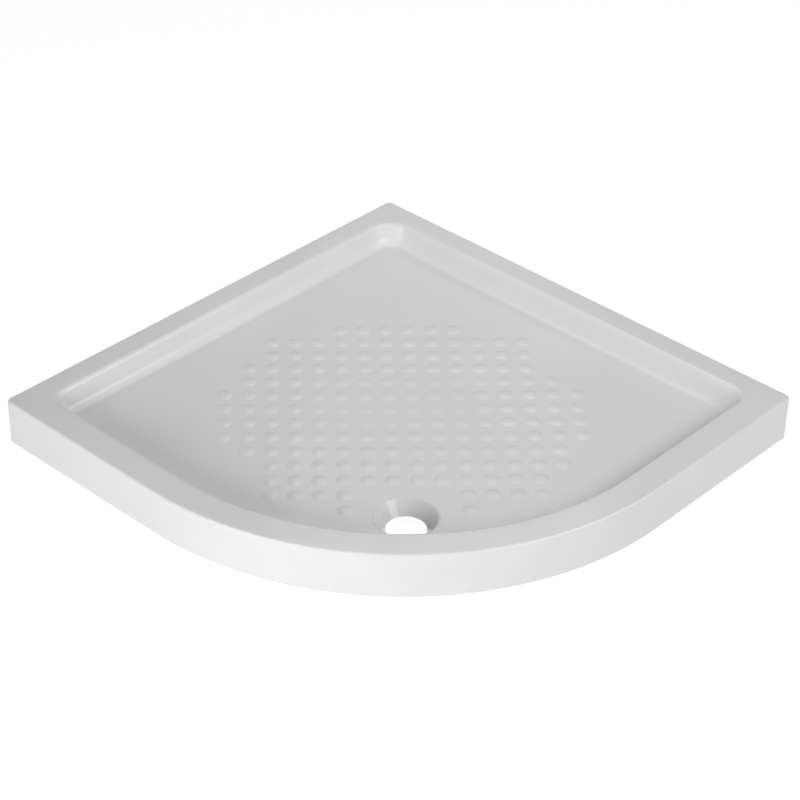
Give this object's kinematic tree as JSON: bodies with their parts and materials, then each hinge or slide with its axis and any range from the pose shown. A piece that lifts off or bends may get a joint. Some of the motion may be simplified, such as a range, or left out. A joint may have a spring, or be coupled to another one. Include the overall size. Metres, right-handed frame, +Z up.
{
  "type": "shower tray",
  "caption": "White glazed quadrant corner shower tray with a flat rim, studded floor falling to an open waste, and a screw-down waste fitting under it.",
  "frame": {"origin": "centre of the tray's bounding square, on the floor that it stands on", "axes": "+Z up; +Y towards the wall behind the tray and -X towards the wall beside it, so the tray's square corner is at -X +Y and its curved front faces +X -Y"},
  "size_m": [0.9, 0.9, 0.08],
  "materials": {
    "glazed_ceramic": "gloss",
    "white_plastic": "gloss",
    "natural_plastic": "satin",
    "grey_plastic": "satin",
    "black_rubber": "matte"
  },
  "bodies": {
    "tray": {"tray_body": "glazed_ceramic", "waste_body": "grey_plastic", "flange_seal": "black_rubber", "body_seal": "black_rubber", "outlet_seal": "black_rubber"},
    "slip": {"slip_ring": "natural_plastic"},
    "flange": {"waste_flange": "white_plastic"}
  },
  "joints": [
    {"name": "flange_rise", "type": "slide", "parent": "tray", "child": "slip", "axis": [0, 0, 1], "range_m": [0, 0.0075]},
    {"name": "flange_turn", "type": "hinge", "parent": "slip", "child": "flange", "pos_m": [0.18284, -0.18284, 0.0285], "axis": [0, 0, 1], "range_deg": [0, 900]}
  ],
  "couplings": [
    {"joint": "flange_rise", "follows": "flange_turn", "m_per_rad": 0.00047746}
  ]
}
